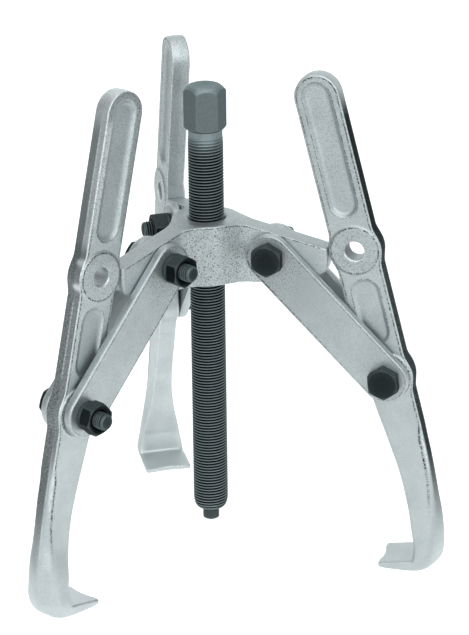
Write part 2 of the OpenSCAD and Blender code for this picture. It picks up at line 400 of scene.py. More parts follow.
def at_bolt(V, i, leg):
    across = np.stack([V[:, 0], V[:, 2], -V[:, 1]], 1)
    place = [OUT_R, 0, OUT_Z] if leg else [PIVOT_R, 0, PIVOT_Z]
    return turn_z(across + place, 120 * (i - 1))


# ---------------------------------------------------------------- turned pieces
class Turned:
    """A closed skin of rings around an axis. Each vertex has a value from 0 to 1 for rubbed metal and painted sheen.
    """

    def __init__(self, angles):
        self.th = np.asarray(angles, float)
        self.n = len(self.th)
        self.v, self.w, self.f = [], [], []

    def ring(self, r, z, wear_and_sheen=0.0):
        r, z, wear_and_sheen = (np.broadcast_to(q, self.n) for q in (r, z, wear_and_sheen))
        start = len(self.v)
        for t, a, b, c in zip(self.th, r, z, wear_and_sheen):
            self.v.append((a * math.cos(t), a * math.sin(t), float(b)))
            self.w.append(float(c))
        return list(range(start, start + self.n))

    def pole(self, z, wear_and_sheen=0.0):
        self.v.append((0.0, 0.0, float(z)))
        self.w.append(wear_and_sheen)
        return len(self.v) - 1

    def join(self, a, b):
        for j in range(self.n):
            k = (j + 1) % self.n
            self.f.append((a[j], a[k], b[k], b[j]))
        return b

    def cap(self, pole, ring, start):
        for j in range(self.n):
            k = (j + 1) % self.n
            self.f.append((pole, ring[k], ring[j]) if start else (pole, ring[j], ring[k]))

    def thread(self, first, z0, last, z1, pitch, profile, radius, depth, worn_and_sheen=None):
        """A right-hand thread from ring first at z0 to ring last at z1.
        profile is a list of (phase, depth share, rubbed-and-sheen value); radius, depth and the least such value vary
        with z."""
        k = len(profile)
        share = (self.th - self.th[0]) / (2 * math.pi)
        rows = range(-2 * k, int((z1 - z0) / pitch + 2) * k)
        ids = np.zeros((len(rows), self.n), int)
        for m, i in enumerate(rows):
            phase, cut, wear_and_sheen = profile[i % k]
            for j in range(self.n):
                z = z0 + pitch * (i // k + phase + share[j])
                if z <= z0 + 0.05:
                    ids[m, j] = first[j]
                elif z >= z1 - 0.05:
                    ids[m, j] = last[j]
                else:
                    r = radius(z) - depth(z) * cut
                    ids[m, j] = len(self.v)
                    self.v.append((r * math.cos(self.th[j]), r * math.sin(self.th[j]), z))
                    self.w.append(max(wear_and_sheen, worn_and_sheen(z)) if worn_and_sheen else wear_and_sheen)
        for m in range(len(rows) - k - 1):
            for j in range(self.n):
                if j + 1 < self.n:
                    loop = (ids[m, j], ids[m, j + 1], ids[m + 1, j + 1], ids[m + 1, j])
                else:
                    loop = (ids[m, j], ids[m + k, 0], ids[m + k + 1, 0], ids[m + 1, j])
                loop = list(dict.fromkeys(int(q) for q in loop))
                if len(loop) > 2:
                    self.f.append(tuple(loop))
        return last


def hex_angles(turn):
    sector = [-30, -29.1, -28, -26.4, -21, -12, 0, 12, 21, 26.4, 28, 29.1]
    return np.radians([turn + 30 + 60 * k + s for k in range(6) for s in sector])


def hex_radius(angles, turn, af, r):
    """Distance from the axis to a hexagon's side, its corners rounded to r."""
    a = np.abs((np.degrees(angles) - turn) % 60 - 30)
    flat = af / 2 / np.cos(np.radians(a))
    centre = (af / 2 - r) / math.cos(math.radians(30))
    d = np.radians(30 - a)
    arc = centre * np.cos(d) + np.sqrt(np.maximum(r * r - (centre * np.sin(d)) ** 2, 0))
    limit = math.degrees(math.atan((af / 2 - r) * math.tan(math.radians(30)) / (af / 2)))
    return np.where(a > limit, arc, flat)


def hex_corner(angles, turn, low, high):
    """Wear of a hexagon's sides: low on the flats, high on the corners."""
    a = np.abs((np.degrees(angles) - turn) % 60 - 30)
    return np.where(a > 27.7, high, low)


def hex_upper(angles, turn):
    """How far each side of a fastener's hexagon faces up, from 0 to 1; used to paint the upper sides lighter, as
    where light falls from above.
    """
    middle = turn + 30 + 60 * np.floor((np.degrees(angles) - turn) / 60 + 1e-6)
    return np.clip(-np.sin(np.radians(middle)), 0, 1) ** 2


def hex_side(piece, H, side, z_top, z_low, rc, steep, up):
    """Rings of a hexagon from its chamfered end face to z_low. up is 1 if z_low is the higher end."""
    drop = np.maximum(H - rc, 0.02) * steep
    a = piece.ring(rc * 0.45, z_top, 0.1)
    b = piece.join(a, piece.ring(rc - 0.45, z_top, 0.15))
    b = piece.join(b, piece.ring(rc - 0.12, z_top + up * 0.04, 0.25))
    b = piece.join(b, piece.ring(np.minimum(H, rc + 0.12), z_top + up * np.minimum(drop, 0.12), 0.35))
    b = piece.join(b, piece.ring(H - 0.07, z_top + up * (drop - 0.03), 0.35))
    b = piece.join(b, piece.ring(H, z_top + up * (drop + 0.12), 0.5))
    b = piece.join(b, piece.ring(H, z_top + up * (drop + 0.5), side))
    b = piece.join(b, piece.ring(H, z_low - up * 0.5, side))
    return a, b


# thread profile: crests pale as rubbed metal and as a painted crest highlight, roots dark
METRIC = [(0.0, 0.0, 0.9), (0.14, 0.0, 0.9), (0.34, 0.5, 0.4), (0.54, 1.0, 0.05), (0.66, 1.0, 0.05), (0.84, 0.5, 0.4)]


def bolt(stack, turn):
    th = hex_angles(turn)
    p = Turned(th)
    H = hex_radius(th, turn, HEX_AF, 0.6)
    top = -stack - HEAD_H
    # the upper sides get a painted sheen, lighter as if lit from above; corners are rubbed
    side = hex_corner(th, turn, 0.12, 0.32) + 0.45 * hex_upper(th, turn)
    a, b = hex_side(p, H, side, top, -stack, HEX_AF / 2 - 0.35, 0.56, 1)
    p.cap(p.pole(top, 0.1), a, True)
    b = p.join(b, p.ring(H - 0.05, -stack - 0.12, 0.5))
    b = p.join(b, p.ring(H - 0.3, -stack, 0.3))
    b = p.join(b, p.ring(5.2, -stack, 0.0))
    b = p.join(b, p.ring(5.0, -stack + 0.2, 0.0))
    end = stack + WASH_T + NUT_H + FREE
    z0, z1 = stack + WASH_T + 1.0, end - 1.1
    b = p.join(b, p.ring(5.0, z0, 0.2))
    last = p.ring(4.6, z1, 0.6)
    p.thread(
        b, z0, last, z1, 1.5, METRIC,
        lambda z: 5.0 - 0.4 * float(ease(z1 - 1.2, z1, z)),
        lambda z: 0.8 * float(ease(z0, z0 + 2, z)) * float(1 - ease(z1 - 1.0, z1, z)),
    )
    b = p.join(last, p.ring(4.45, end - 0.75, 0.8))
    b = p.join(b, p.ring(3.85, end - 0.12, 0.8))
    b = p.join(b, p.ring(3.6, end, 0.4))
    b = p.join(b, p.ring(1.6, end, 0.25))
    p.cap(p.pole(end, 0.25), b, False)
    return p


def nut(stack, turn):
    th = hex_angles(turn)
    p = Turned(th)
    H = hex_radius(th, turn, HEX_AF, 0.6)
    z0, z1 = stack + WASH_T, stack + WASH_T + NUT_H
    rc, steep = HEX_AF / 2 - 0.2, 0.55
    drop = np.maximum(H - rc, 0.02) * steep
    # the upper sides get a painted sheen, lighter as if lit from above; corners are rubbed
    side = hex_corner(th, turn, 0.04, 0.36) + 0.5 * hex_upper(th, turn)
    first = p.ring(5.75, z0, 0.2)
    b = p.join(first, p.ring(rc - 0.1, z0, 0.3))
    b = p.join(b, p.ring(np.minimum(H, rc + 0.1), z0 + np.minimum(drop, 0.1), 0.4))
    b = p.join(b, p.ring(H - 0.07, z0 + drop - 0.03, 0.5))
    b = p.join(b, p.ring(H, z0 + drop + 0.12, 0.4))
    b = p.join(b, p.ring(H, z0 + drop + 0.5, side))
    b = p.join(b, p.ring(H, z1 - drop - 0.5, side))
    b = p.join(b, p.ring(H, z1 - drop - 0.12, 0.5))
    b = p.join(b, p.ring(H - 0.07, z1 - drop + 0.03, 0.4))
    b = p.join(b, p.ring(np.minimum(H, rc + 0.1), z1 - np.minimum(drop, 0.1), 0.4))
    b = p.join(b, p.ring(rc - 0.15, z1, 0.12))
    b = p.join(b, p.ring(6.9, z1, 0.0))
    b = p.join(b, p.ring(6.6, z1 - 0.12, 0.05))
    b = p.join(b, p.ring(5.08, z1 - 1.7, 0.0))
    b = p.join(b, p.ring(5.08, z0 + 0.7, 0.0))
    p.join(b, first)
    return p


def washer(stack):
    """A split spring ring: a rounded section carried round, its two cut ends skewed."""
    section = []
    for cx, cz, a0 in ((WASH_R - 0.4, 0.4, -90), (WASH_R - 0.4, WASH_T - 0.4, 0), (5.5, WASH_T - 0.4, 90), (5.5, 0.4, 180)):
        for a in np.radians([a0, a0 + 30, a0 + 60, a0 + 90]):
            section.append((cx + 0.4 * math.cos(a), cz + 0.4 * math.sin(a)))
    cut = math.degrees(0.75 / 7.0)
    turns = np.radians(np.linspace(180 + cut, 540 - cut, 73))
    v, f, n = [], [], len(section)
    for t in turns:
        for r, z in section:
            a = t + 0.13 * (z - WASH_T / 2) / WASH_T * 2
            v.append((r * math.cos(a), r * math.sin(a), z + stack))
    for i in range(len(turns) - 1):
        for j in range(n):
            k = (j + 1) % n
            f.append((i * n + j, (i + 1) * n + j, (i + 1) * n + k, i * n + k))
    f.append(tuple(range(n)))
    f.append(tuple((len(turns) - 1) * n + j for j in reversed(range(n))))
    wear_and_sheen = [0.55 if 0.05 < z < WASH_T - 0.05 and r > WASH_R - 0.35 else 0.25 for _ in turns for r, z in section]
    return v, f, wear_and_sheen


# spindle thread profile: crests pale as rubbed metal and as a painted crest highlight, roots dark
PIPE = [(0.0, 0.0, 0.94), (0.17, 0.0, 0.94), (0.34, 0.5, 0.05), (0.5, 1.0, 0.0), (0.67, 1.0, 0.0), (0.83, 0.5, 0.05)]
PITCH = 25.4 / 14
ROD = 20.955 / 2
HEAD_TOP, HEAD_TALL, HEAD_AF, HEAD_TURN = 276.2, 27.3, 22.0, 21.0


def spindle():
    th = hex_angles(HEAD_TURN)
    p = Turned(th)
    z0, zh = 7.2, HEAD_TOP - HEAD_TALL
    a = p.ring(4.05, 21.2)
    p.cap(p.pole(21.2), a, True)
    b = p.join(a, p.ring(4.05, z0 + 0.4))
    b = p.join(b, p.ring(4.45, z0, 0.4))
    b = p.join(b, p.ring(7.2, z0, 0.55))
    b = p.join(b, p.ring(7.6, z0 + 0.1, 0.65))
    b = p.join(b, p.ring(8.35, z0 + 0.7, 0.6))
    b = p.join(b, p.ring(8.9, z0 + 1.25, 0.6))
    first = p.join(b, p.ring(9.35, z0 + 1.95, 0.55))
    heights = [z0 + 1.95, z0 + 2.8, z0 + 4, z0 + 5, z0 + 7, zh - 9, zh - 6.5, zh - 4.2, zh - 3.6]
    radii = [9.35, 9.75, 10.1, ROD - 0.17, ROD, ROD, ROD - 0.12, ROD - 0.33, ROD - 0.42]
    deep_z = [z0 + 1.95, z0 + 3.2, z0 + 5.5, zh - 17, zh - 12.5, zh - 8, zh - 4.4, zh - 3.6]
    deep = [0.0, 0.55, 1.06, 1.06, 0.72, 0.45, 0.22, 0.0]
    last = p.ring(ROD - 0.42, zh - 3.6, 0.95)
    p.thread(
        first, z0 + 1.95, last, zh - 3.6, PITCH, PIPE,
        lambda z: float(np.interp(z, heights, radii)),
        lambda z: float(np.interp(z, deep_z, deep)),
        lambda z: float(np.interp(z, [zh - 17, zh - 12.5, zh - 8, zh - 4.4, zh - 3.6], [0.0, 0.14, 0.34, 0.66, 0.9])),
    )
    b = p.join(last, p.ring(ROD - 0.45, zh - 0.5, 0.95))
    b = p.join(b, p.ring(ROD - 0.3, zh - 0.1, 0.3))
    b = p.join(b, p.ring(ROD - 0.1, zh, 0.25))
    H = hex_radius(th, HEAD_TURN, HEAD_AF, 0.5)
    low = np.maximum(H - 10.4, 0.02) * 0.64
    b = p.join(b, p.ring(10.4, zh + 0.01, 0.3))
    side = hex_corner(th, HEAD_TURN, 0.54, 0.6)
    b = p.join(b, p.ring(H - 0.08, zh + low - 0.03, 0.45))
    b = p.join(b, p.ring(H, zh + low + 0.15, 0.62))
    b = p.join(b, p.ring(H, zh + low + 0.6, side))

    def dome(r):
        return np.interp(r, [5.5, 7.2, 9.4, 11.0, 12.9], [27.3, 27.15, 26.4, 25.0, 22.9])

    b = p.join(b, p.ring(H, zh + 12.0, side))
    b = p.join(b, p.ring(H, zh + dome(H) - 0.6, side))
    b = p.join(b, p.ring(H, zh + dome(H) - 0.14, 0.6))
    b = p.join(b, p.ring(H - 0.09, zh + dome(H - 0.09), 0.66))
    # the dome is painted paler towards its middle: rubbed metal and a painted highlight from light above
    for share, wear_and_sheen in ((0.97, 0.9), (0.93, 0.9), (0.885, 0.9), (0.84, 0.92), (0.79, 0.94), (0.74, 0.96), (0.68, 0.98), (0.62, 1.0), (0.55, 1.0), (0.46, 0.95), (0.25, 0.9)):
        b = p.join(b, p.ring(H * share, zh + dome(H * share), wear_and_sheen))
    p.cap(p.pole(HEAD_TOP, 0.75), b, False)
    return p


def thrust_pin():
    p = Turned(np.radians(np.arange(0, 360, 7.5)))
    a = p.ring(0.35, -2.42, 0.9)
    p.cap(p.pole(-2.5, 0.9), a, True)
    b = a
    for r, z, wear_and_sheen in (
        (0.9, -2.1, 0.8), (1.6, -1.72, 0.6), (3.2, -0.9, 0.35), (4.4, -0.28, 0.4), (4.72, -0.05, 0.8),
        (4.88, 0.2, 0.8), (4.9, 0.6, 0.3), (4.9, 3.4, 0.25), (4.9, 6.5, 0.25), (4.8, 6.85, 0.5), (4.6, 7.0, 0.4),
        (4.0, 7.0, 0.1), (4.0, 19.6, 0.1), (3.6, 20.0, 0.1), (1.5, 20.0, 0.1),
    ):
        b = p.join(b, p.ring(r, z, wear_and_sheen))
    p.cap(p.pole(20.0, 0.1), b, False)
    return p


# ---------------------------------------------------------------- materials
class Look:
    """A material with one Principled shader and short ways to add nodes."""

    def __init__(self, name):
        self.m = bpy.data.materials.new(name)
        self.m.use_nodes = True
        self.t = self.m.node_tree
        self.t.nodes.clear()
        out = self.t.nodes.new("ShaderNodeOutputMaterial")
        self.b = self.t.nodes.new("ShaderNodeBsdfPrincipled")
        self.t.links.new(self.b.outputs[0], out.inputs[0])
        self.where = self.t.nodes.new("ShaderNodeTexCoord").outputs["Object"]

    def link(self, value, socket):
        if isinstance(value, bpy.types.NodeSocket):
            self.t.links.new(value, socket)
        else:
            socket.default_value = value

    def moved(self, by, scale=(1, 1, 1)):
        n = self.t.nodes.new("ShaderNodeMapping")
        n.inputs["Location"].default_value = by
        n.inputs["Scale"].default_value = scale
        self.t.links.new(self.where, n.inputs["Vector"])
        return n.outputs[0]

    def noise(self, scale, detail=2.0, rough=0.5, at=None):
        n = self.t.nodes.new("ShaderNodeTexNoise")
        n.inputs["Scale"].default_value = scale
        n.inputs["Detail"].default_value = detail
        n.inputs["Roughness"].default_value = rough
        self.t.links.new(at or self.where, n.inputs["Vector"])
        return n.outputs["Fac"]

    def attribute(self, name):
        n = self.t.nodes.new("ShaderNodeAttribute")
        n.attribute_name = name
        return n.outputs["Fac"]

    def joined(self, x, y, z):
        n = self.t.nodes.new("ShaderNodeCombineXYZ")
        for value, socket in zip((x, y, z), n.inputs):
            self.link(value, socket)
        return n.outputs[0]

    def math(self, op, a, b=0.0, clamp=False):
        n = self.t.nodes.new("ShaderNodeMath")
        n.operation = op
        n.use_clamp = clamp
        self.link(a, n.inputs[0])
        self.link(b, n.inputs[1])
        return n.outputs[0]

    def span(self, value, a, b, to_a=0.0, to_b=1.0, soft=True):
        n = self.t.nodes.new("ShaderNodeMapRange")
        n.interpolation_type = "SMOOTHSTEP" if soft else "LINEAR"
        self.link(value, n.inputs["Value"])
        n.inputs["From Min"].default_value = a
        n.inputs["From Max"].default_value = b
        n.inputs["To Min"].default_value = to_a
        n.inputs["To Max"].default_value = to_b
        return n.outputs[0]

    def mix(self, share, a, b):
        n = self.t.nodes.new("ShaderNodeMix")
        n.data_type = "RGBA"
        self.link(share, n.inputs[0])
        self.link(a, n.inputs[6])
        self.link(b, n.inputs[7])
        return n.outputs[2]

    def bump(self, height, strength, distance, under=None):
        n = self.t.nodes.new("ShaderNodeBump")
        n.inputs["Strength"].default_value = strength
        n.inputs["Distance"].default_value = distance
        self.t.links.new(height, n.inputs["Height"])
        if under is not None:
            self.t.links.new(under, n.inputs["Normal"])
        return n.outputs[0]


def plated(name, seed, light, shade):
    """Bright satin plating over a forged skin: fine grain, small pits, a broken dark line
    inside the edges, rubbed edges lit by a painted highlight, a rough dark strip where flash was trimmed that also
    holds painted shade, painted shade on some faces and painted highlights on others."""
    k = Look(name)
    at = k.moved((seed, 2 * seed, -seed))
    cloud = k.noise(60, 3, 0.55, at)
    grain = k.noise(1700, 2, 0.65, at)
    coarse = k.noise(640, 3, 0.6, at)
    trim = k.noise(1700, 3, 0.65, k.joined(k.attribute("along"), k.attribute("across"), seed))
    grained = k.attribute("grained")
    pits = k.math("MULTIPLY", k.span(k.noise(1600, 1.5, 0.5, at), 0.54, 0.64), k.attribute("pits"))
    dash = k.math("MULTIPLY", k.span(k.noise(1150, 2, 0.6, at), 0.43, 0.52), k.span(k.noise(190, 2, 0.5, at), 0.3, 0.52, 0.45, 1.0))
    near = k.span(k.attribute("line_d"), 0.58, 0.24)
    line = k.math("MULTIPLY", k.math("MULTIPLY", near, dash), k.attribute("lined"))
    rub_and_highlight = k.math("MULTIPLY", k.span(k.attribute("corner_d"), 0.7, 0.2), k.attribute("rub_and_highlight"))
    rub_and_highlight = k.math("MULTIPLY", rub_and_highlight, k.span(coarse, 0.40, 0.56, 0.1, 1.0))
    trim_band_and_shade = k.attribute("trim_band_and_shade")
    mottle = k.span(k.math("ADD", k.math("MULTIPLY", trim, 0.55), k.math("MULTIPLY", grain, 0.45)), 0.40, 0.60)
    mottle = k.math("MULTIPLY", mottle, k.attribute("mottled"))
    colour = k.mix(k.span(cloud, 0.3, 0.7), shade, light)
    speck = k.math("MULTIPLY", k.span(grain, 0.34, 0.68, -0.235, 0.265), grained)
    colour = k.mix(k.math("ADD", speck, 0.235), colour, (0.27, 0.31, 0.315, 1))
    # painted shade: colour drawn towards a darker grey by a mesh attribute (yoke tops, strap faces near the yoke,
    # head-side leg faces, pocket floors, bolt holes)
    colour = k.mix(k.math("MULTIPLY", k.attribute("shade_and_dark_tone"), 0.5), colour, (0.34, 0.37, 0.378, 1))
    # painted highlight: colour drawn towards a light grey by a mesh attribute
    colour = k.mix(k.attribute("painted_highlight"), colour, (0.88, 0.91, 0.915, 1))
    # rubbed edges, lightened further as a painted highlight where light catches them
    colour = k.mix(k.math("MULTIPLY", rub_and_highlight, 0.75), colour, (0.90, 0.92, 0.92, 1))
    # dark rough strip of trimmed flash; its darkness also paints shade, on leg 1's edge facing away from the light
    # and on strap faces near the yoke
    colour = k.mix(k.math("MULTIPLY", trim_band_and_shade, 0.96), colour, k.mix(mottle, k.mix(k.attribute("band_darkness"), (0.15, 0.175, 0.18, 1), (0.012, 0.017, 0.018, 1)), k.mix(k.attribute("band_darkness"), (0.90, 0.93, 0.935, 1), (0.16, 0.19, 0.195, 1))))
    colour = k.mix(k.math("MULTIPLY", pits, 0.8), colour, (0.07, 0.085, 0.088, 1))
    colour = k.mix(k.math("MULTIPLY", line, 0.95), colour, (0.02, 0.027, 0.028, 1))
    k.link(colour, k.b.inputs["Base Color"])
    k.b.inputs["Metallic"].default_value = 0.92
    k.link(k.mix(k.math("MULTIPLY", trim_band_and_shade, k.attribute("band_darkness")), (1, 1, 1, 1), (0.15, 0.17, 0.17, 1)), k.b.inputs["Specular Tint"])
    rough = k.span(k.math("ADD", k.math("MULTIPLY", grain, 0.6), k.math("MULTIPLY", cloud, 0.4)), 0.3, 0.7, 0.36, 0.52, False)
    rough = k.math("ADD", rough, k.math("MULTIPLY", k.math("MAXIMUM", trim_band_and_shade, pits), 0.2))
    k.link(k.math("SUBTRACT", rough, k.math("MULTIPLY", rub_and_highlight, 0.08), True), k.b.inputs["Roughness"])
    fine = k.bump(k.math("MULTIPLY", grain, grained), 0.4, 0.00007)
    skin_bump = k.bump(k.math("MULTIPLY", coarse, k.math("ADD", k.math("MULTIPLY", trim_band_and_shade, 2.2), 0.35)), 0.5, 0.00014, fine)
    sunk = k.math("SUBTRACT", 1.0, k.math("MAXIMUM", pits, line))
    k.link(k.bump(sunk, 0.5, 0.00010, skin_bump), k.b.inputs["Normal"])
    return k.m


def darkened(name, seed, base, worn_and_sheen, rough, metal, shine):
    """Oil-blackened steel, paler where edges and crests are rubbed, and paler again where a painted sheen stands for
    light: the fasteners' upper sides, the spindle's dome and thread crests.
    """
    k = Look(name)
    at = k.moved((seed, -seed, 3 * seed))
    cloud = k.noise(240, 3, 0.6, at)
    grain = k.noise(1300, 2, 0.6, at)
    wear_and_sheen = k.math("MULTIPLY", k.attribute("wear_and_sheen"), k.span(k.noise(900, 3, 0.6, at), 0.25, 0.6, 0.82, 1.0), True)
    shade_and_dark_tone = tuple(0.6 * c for c in base[:3]) + (1,)
    colour = k.mix(k.span(cloud, 0.3, 0.7), shade_and_dark_tone, base)
    # paler where rubbed, and painted sheen on the upper sides, dome and crests
    colour = k.mix(wear_and_sheen, colour, worn_and_sheen)
    colour = k.mix(k.span(grain, 0.42, 0.7, 0.0, 0.10), colour, tuple(0.5 * c for c in worn_and_sheen[:3]) + (1,))
    k.link(colour, k.b.inputs["Base Color"])
    k.b.inputs["Metallic"].default_value = metal
    k.b.inputs["Specular IOR Level"].default_value = shine
    k.b.inputs["Specular Tint"].default_value = (0.32, 0.36, 0.36, 1)
    k.link(k.span(k.math("ADD", k.math("MULTIPLY", grain, 0.5), k.math("MULTIPLY", cloud, 0.5)), 0.3, 0.7, rough - 0.07, rough + 0.09, False), k.b.inputs["Roughness"])
    k.link(k.bump(grain, 0.3, 0.00005), k.b.inputs["Normal"])
    return k.m


yoke_look = plated("yoke_forging", 0.31, (0.66, 0.703, 0.713, 1), (0.56, 0.602, 0.612, 1))
strap_look = plated("strap_plate", 0.77, (0.66, 0.704, 0.714, 1), (0.555, 0.597, 0.607, 1))
leg_look = plated("leg_forging", 0.52, (0.68, 0.724, 0.734, 1), (0.575, 0.618, 0.628, 1))
spindle_look = darkened("spindle_steel", 0.43, (0.007, 0.011, 0.012, 1), (0.295, 0.355, 0.364, 1), 0.40, 0.75, 0.14)
pin_look = darkened("pin_steel", 0.66, (0.020, 0.027, 0.028, 1), (0.17, 0.205, 0.21, 1), 0.40, 0.4, 0.2)
black_look = darkened("fastener_black", 0.19, (0.0035, 0.006, 0.0065, 1), (0.14, 0.175, 0.18, 1), 0.36, 0.5, 0.06)


# ---------------------------------------------------------------- pieces
def piece(name, V, faces, body, node, slot_name, look, values, sharp=None):
    me = bpy.data.meshes.new(name)
    me.from_pydata((np.asarray(V) * MM).tolist(), [], [list(map(int, f)) for f in faces])
    me.update()
    if sharp is not None:
        b = bmesh.new()
        b.from_mesh(me)
        bmesh.ops.recalc_face_normals(b, faces=b.faces)
        b.to_mesh(me)
        b.free()
    me.polygons.foreach_set("use_smooth", np.ones(len(me.polygons), bool))
    if sharp is not None:
        me.set_sharp_from_angle(angle=math.radians(sharp))
    for key, value in values.items():
        a = me.attributes.new(key, "FLOAT", "POINT")
        a.data.foreach_set("value", np.asarray(value, np.float32))
    me.materials.append(look)
    o = bpy.data.objects.new(name, me)
    bpy.context.scene.collection.objects.link(o)
    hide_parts(node)
    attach(o, body)
    return o


# yoke
V, Q, N = forged(
    yoke_shape,
    grade((-45.3, 77.7, 0.7)),
    grade((-71.3, 71.3, 0.7)),
    grade((-19.0, 20.0, 0.62)),
)
plan, side = yoke_plan(V[:, 0], V[:, 1]), outline_distance(YOKE_SIDE, np.hypot(V[:, 0], V[:, 1]), V[:, 2])
rho = np.hypot(V[:, 0], V[:, 1])
upright = 1 - ease(0.25, 0.6, np.abs(N[:, 2]))
hub = upright * (1 - ease(24, 34, rho)) * ease(11.5, 13, rho)
piece(
    "yoke_casting", V + [0, 0, PIVOT_Z], Q, "yoke", "yoke", "yoke_forging", yoke_look,
    {
        "line_d": np.abs(-side - 0.75),
        "lined": upright * ease(4, 9, V[:, 2] + 0.24 * np.maximum(rho - 24, 0)) * (1 - ease(70, 72.5, rho)),
        "corner_d": np.hypot(plan, side),
        "rub_and_highlight": np.zeros(len(V)),
        "trim_band_and_shade": np.zeros(len(V)),
        "mottled": np.zeros(len(V)),
        "band_darkness": np.zeros(len(V)),
        "pits": 0.25 + 0.75 * hub,
        "grained": np.full(len(V), 0.95),
        # painted shade on the upward-facing tops
        "shade_and_dark_tone": 0.45 * ease(0.7, 0.95, N[:, 2]),
        "painted_highlight": np.zeros(len(V)),
        "along": np.zeros(len(V)),
        "across": np.zeros(len(V)),
    },
)

# straps
V, Q, N = forged(
    strap_shape,
    grade((-14.8, 15.5, 0.62), (15.5, 84.5, 1.6), (84.5, 114.8, 0.62)),
    grade((-3.3, 3.3, 0.44)),
    grade((-14.8, -10.6, 0.46), (-10.6, 10.6, 0.8), (10.6, 14.8, 0.46)),
)
depth = -strap_flat(V[:, 0], V[:, 2])
face = ease(0.75, 0.95, np.abs(N[:, 1]))
for i in (1, 2, 3):
    for side_sign, word in ((-1, "head_side"), (1, "nut_side")):
        piece(
            f"strap_{i}_{word}_plate", at_strap(V, i, side_sign), Q, f"link_{i}", f"strap_{i}_{word}",
            "strap_plate", strap_look,
            {
                "line_d": np.abs(depth - 1.5),
                "lined": face * (0.45 + 0.45 * (1 - ease(25, 70, V[:, 0])) * ease(-3, -9, V[:, 2])),
                "corner_d": np.hypot(depth, STRAP_T / 2 - np.abs(V[:, 1])),
                # rubbed edges, the upper edges more: a painted highlight from light above
                "rub_and_highlight": 0.5 + 0.45 * ease(0, 6, V[:, 2]),
                # painted shade: darker strap faces near the yoke end, more on the head side
                "trim_band_and_shade": (0.34 if side_sign < 0 else 0.1) * (1 - ease(5, 75, V[:, 0])) * face,
                "mottled": np.full(len(V), 0.7),
                "band_darkness": np.full(len(V), 0.3),
                "pits": 0.22 + 0.55 * (1 - ease(14, 30, np.hypot(V[:, 0], V[:, 2]))) * face,
                "grained": np.full(len(V), 0.75),
                # painted shade on the strap faces, strongest on the head side near the yoke end
                "shade_and_dark_tone": (0.45 + 0.4 * (1 - ease(10, 80, V[:, 0])) if side_sign < 0 else 0.1 * (1 - ease(10, 80, V[:, 0]))) * face,
                "painted_highlight": np.zeros(len(V)),
                "along": V[:, 0] * MM,
                "across": V[:, 2] * MM,
            },
        )

# legs
V, Q, N = forged(
    leg_shape,
    grade((-33.0, 16.2, 0.6)),
    grade((-15.2, -7.2, 0.7), (-7.2, 7.2, 0.5), (7.2, 15.2, 0.7)),
    grade(
        (-126.4, -70, 0.75), (-70, -22, 1.2), (-22, 26, 0.62), (26, 54, 1.1),
        (54, 108, 0.62), (108, 168, 1.2), (168, 189.4, 0.6),
    ),
)
ay = np.abs(V[:, 1])
back = leg_back(V[:, 0], ay, V[:, 2])
half = np.interp(V[:, 2], _half[:, 1], _half[:, 0])
face = ease(0.72, 0.93, np.abs(N[:, 1]))
edge_face = 1 - ease(0.35, 0.7, np.abs(N[:, 1]))
boss = np.minimum(np.hypot(V[:, 0], V[:, 2]), np.hypot(V[:, 0], V[:, 2] - LEG_L))
on_boss = (boss < 15.2) & (ay > 5.8)
pocket = np.min([slot(V[:, 0], V[:, 2], z0, z1, 8.29) for z0, z1, _ in POCKETS], axis=0)
groove = np.abs(pocket - 0.4)
sunk_floor = ease(0.2, -1.4, pocket) * (ay < 5.3)
barrel = np.max([1 - ease(9, 13, np.abs(V[:, 2] - c)) for c in (0, LEG_L)], axis=0)
outer = edge_face * ease(-0.2, 0.4, N[:, 0]) * (np.abs(back) < 1.0) * (boss > 8)
outer *= ease(-112, -70, V[:, 2]) * (1 - ease(158, 178, V[:, 2]))
seam = np.interp(V[:, 2], [-40, -10, 20, 75, 110], [2.0, 2.0, 0.9, 0.9, 0.9])
trimmed = outer * (1 - ease(-0.4, 0.4, V[:, 1] - seam))
hole = np.hypot(V[:, 0], V[:, 2] - LEG_L)
bore = ease(6.1, 5.8, hole) * (1 - ease(0.5, 0.8, np.abs(N[:, 1])))
# lower half of the upper bolt hole's rim, for a painted highlight
lower_rim = (hole < 7) * (ay > 5.4) * ease(1.0, -2.5, V[:, 2] - LEG_L)
rim_line = lower_rim * (1 - ease(0.3, 0.75, np.abs(hole - 6.1)))
tongue = 1.6 + 1.9 * np.clip((V[:, 1] + 2.0) / 5, 0, 1)
# light patches on the outer edge beside the upper boss, part rubbed metal and part painted reflection
fleck_and_glint = np.max([1 - ease(0.1, 1.1, np.abs(V[:, 2] - c) / tongue) for c in (LEG_L - 6.5, LEG_L + 7.7)], axis=0)
fleck_and_glint *= edge_face * ease(-0.2, 0.4, N[:, 0]) * ease(-2.2, 1.4, V[:, 1])
# a light line along the seam of the outer edge, part rubbed metal and part painted reflection
vein_and_glint = outer * (1 - ease(0.3, 0.75, np.abs(V[:, 1] - 0.8))) * (0.7 + 0.3 * np.sin(2.3 * V[:, 2]))
vein_and_glint *= ease(16, 22, V[:, 2]) * ease(68, 62, V[:, 2])
